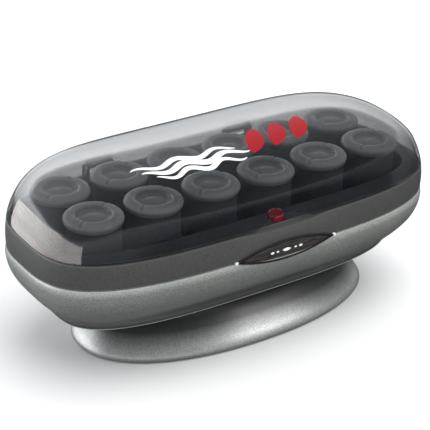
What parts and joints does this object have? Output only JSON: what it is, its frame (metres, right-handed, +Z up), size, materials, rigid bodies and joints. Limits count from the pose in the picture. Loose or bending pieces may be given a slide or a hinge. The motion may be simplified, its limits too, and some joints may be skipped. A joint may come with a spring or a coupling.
{
  "type": "heated roller set",
  "caption": "Heated hair roller set: flocked rollers on heated posts in an oval case on a flared plinth, under a hinged smoked lid.",
  "frame": {"origin": "on the supporting surface, under the middle of the object's box", "axes": "+X along the long side to the right seen from the front, +Y to the rear (hinge side), +Z up"},
  "size_m": [0.326, 0.1512, 0.1424],
  "materials": {
    "smoked_lid": "smoked translucent gloss",
    "dark_plastic": "satin dark plastic",
    "pin_steel": "plain steel",
    "rim_grey": "satin grey plastic",
    "case_silver": "grained metallic silver-grey plastic",
    "well_black": "satin black plastic",
    "plinth_silver": "fine-grained metallic silver plastic",
    "foot_rubber": "matt black rubber",
    "badge_black": "gloss black plastic",
    "badge_silver": "satin silver foil",
    "heater_aluminium": "turned aluminium",
    "element_steel": "heat-darkened steel sheath",
    "shield_steel": "bright steel sheet",
    "ceramic_white": "off-white insulator",
    "wire_sleeving": "glass-braid and silicone sleeving",
    "core_plastic": "heat-proof moulded plastic",
    "roller_velvet": "short flocked velvet",
    "cap_grey": "satin grey cool-touch plastic",
    "lamp_red": "glossy red translucent plastic"
  },
  "bodies": {
    "base": {"hinge_pins": "pin_steel", "upper_casing": "rim_grey", "lower_casing": "case_silver", "tray": "well_black", "plinth": "plinth_silver", "plinth_cover": "dark_plastic", "rubber_feet": "foot_rubber", "badge_bezel": "badge_black", "badge_plate": "badge_silver", "heat_plate": "heater_aluminium", "heating_posts": "heater_aluminium", "heating_element": "element_steel", "heat_shield": "shield_steel", "thermostat": "shield_steel", "thermal_fuse": "shield_steel", "plate_spacers": "ceramic_white", "casing_screws": "pin_steel", "terminal_block": "ceramic_white", "internal_wiring": "wire_sleeving", "switch_body": "dark_plastic", "cord_gland": "foot_rubber"},
    "lid": {"lid": "smoked_lid", "lid_hinge_arms": "smoked_lid"},
    "button": {"power_button": "lamp_red"},
    "roller_01": {"roller_01_core": "core_plastic", "roller_01_sleeve": "roller_velvet", "roller_01_cap": "cap_grey"},
    "roller_02": {"roller_02_core": "core_plastic", "roller_02_sleeve": "roller_velvet", "roller_02_cap": "cap_grey"},
    "roller_03": {"roller_03_core": "core_plastic", "roller_03_sleeve": "roller_velvet", "roller_03_cap": "cap_grey"},
    "roller_04": {"roller_04_core": "core_plastic", "roller_04_sleeve": "roller_velvet", "roller_04_cap": "cap_grey"},
    "roller_05": {"roller_05_core": "core_plastic", "roller_05_sleeve": "roller_velvet", "roller_05_cap": "cap_grey"},
    "roller_06": {"roller_06_core": "core_plastic", "roller_06_sleeve": "roller_velvet", "roller_06_cap": "cap_grey"},
    "roller_07": {"roller_07_core": "core_plastic", "roller_07_sleeve": "roller_velvet", "roller_07_cap": "cap_grey"},
    "roller_08": {"roller_08_core": "core_plastic", "roller_08_sleeve": "roller_velvet", "roller_08_cap": "cap_grey"},
    "roller_09": {"roller_09_core": "core_plastic", "roller_09_sleeve": "roller_velvet", "roller_09_cap": "cap_grey"},
    "roller_10": {"roller_10_core": "core_plastic", "roller_10_sleeve": "roller_velvet", "roller_10_cap": "cap_grey"},
    "roller_11": {"roller_11_core": "core_plastic", "roller_11_sleeve": "roller_velvet", "roller_11_cap": "cap_grey"},
    "roller_12": {"roller_12_core": "core_plastic", "roller_12_sleeve": "roller_velvet", "roller_12_cap": "cap_grey"}
  },
  "joints": [
    {"name": "lid_hinge", "type": "hinge", "parent": "base", "child": "lid", "pos_m": [0, 0.0726, 0.1016], "axis": [-1, 0, 0], "range_deg": [0, 102]},
    {"name": "power_button_press", "type": "slide", "parent": "base", "child": "button", "axis": [0, 0, -1], "range_m": [0, 0.0022], "stiffness_N_per_m": 350, "springref_m": -0.002},
    {"name": "roller_01_lift", "type": "slide", "parent": "base", "child": "roller_01", "axis": [0, 0, 1], "range_m": [0, 0.005]},
    {"name": "roller_02_lift", "type": "slide", "parent": "base", "child": "roller_02", "axis": [0, 0, 1], "range_m": [0, 0.009]},
    {"name": "roller_03_lift", "type": "slide", "parent": "base", "child": "roller_03", "axis": [0, 0, 1], "range_m": [0, 0.009]},
    {"name": "roller_04_lift", "type": "slide", "parent": "base", "child": "roller_04", "axis": [0, 0, 1], "range_m": [0, 0.009]},
    {"name": "roller_05_lift", "type": "slide", "parent": "base", "child": "roller_05", "axis": [0, 0, 1], "range_m": [0, 0.009]},
    {"name": "roller_06_lift", "type": "slide", "parent": "base", "child": "roller_06", "axis": [0, 0, 1], "range_m": [0, 0.005]},
    {"name": "roller_07_lift", "type": "slide", "parent": "base", "child": "roller_07", "axis": [0, 0, 1], "range_m": [0, 0.005]},
    {"name": "roller_08_lift", "type": "slide", "parent": "base", "child": "roller_08", "axis": [0, 0, 1], "range_m": [0, 0.009]},
    {"name": "roller_09_lift", "type": "slide", "parent": "base", "child": "roller_09", "axis": [0, 0, 1], "range_m": [0, 0.009]},
    {"name": "roller_10_lift", "type": "slide", "parent": "base", "child": "roller_10", "axis": [0, 0, 1], "range_m": [0, 0.009]},
    {"name": "roller_11_lift", "type": "slide", "parent": "base", "child": "roller_11", "axis": [0, 0, 1], "range_m": [0, 0.009]},
    {"name": "roller_12_lift", "type": "slide", "parent": "base", "child": "roller_12", "axis": [0, 0, 1], "range_m": [0, 0.005]}
  ]
}
